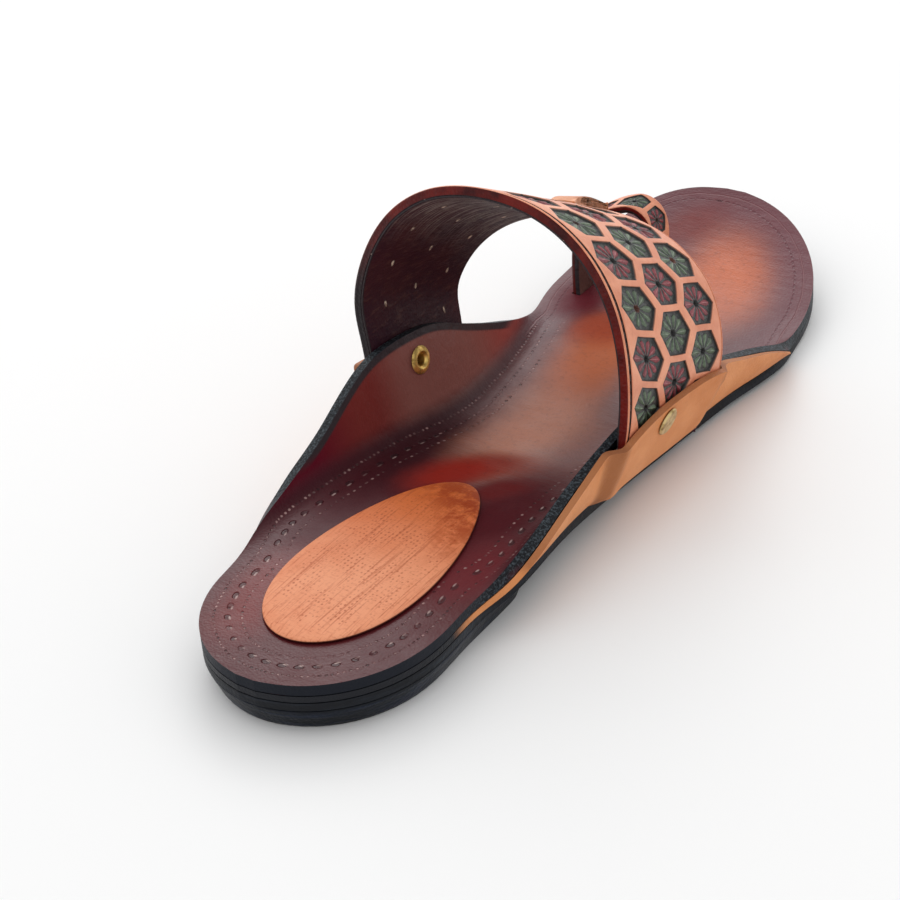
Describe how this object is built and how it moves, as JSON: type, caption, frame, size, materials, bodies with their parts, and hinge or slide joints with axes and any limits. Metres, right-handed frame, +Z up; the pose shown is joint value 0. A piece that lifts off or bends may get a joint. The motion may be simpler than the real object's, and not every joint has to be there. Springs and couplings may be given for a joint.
{
  "type": "kolhapuri chappal",
  "caption": "Flat leather sandal for the right foot with a wide instep strap, a toe loop joined by a thong, a low heel and upturned waist wings.",
  "frame": {"origin": "under the middle of the shoe's bounding box, on the floor", "axes": "+Y from heel to toe, +X to the outer side of the right foot, +Z up"},
  "size_m": [0.0898, 0.2748, 0.0904],
  "materials": {
    "black_leather": "inked edge, semi-gloss",
    "tan_leather": "vegetable-tanned, satin",
    "burnished_leather": "burnished maroon to orange, glossy",
    "pad_leather": "tan, printed cross-hatch grain",
    "strap_leather": "tan, carved and hand-coloured",
    "brass": "polished, slightly tarnished"
  },
  "bodies": {
    "root": {"outsole": "black_leather", "heel_block": "black_leather", "ear_layer": "tan_leather", "footbed": "burnished_leather", "heel_pad": "pad_leather", "upper": "strap_leather", "eyelet_inner": "brass", "eyelet_outer": "brass"}
  },
  "joints": []
}
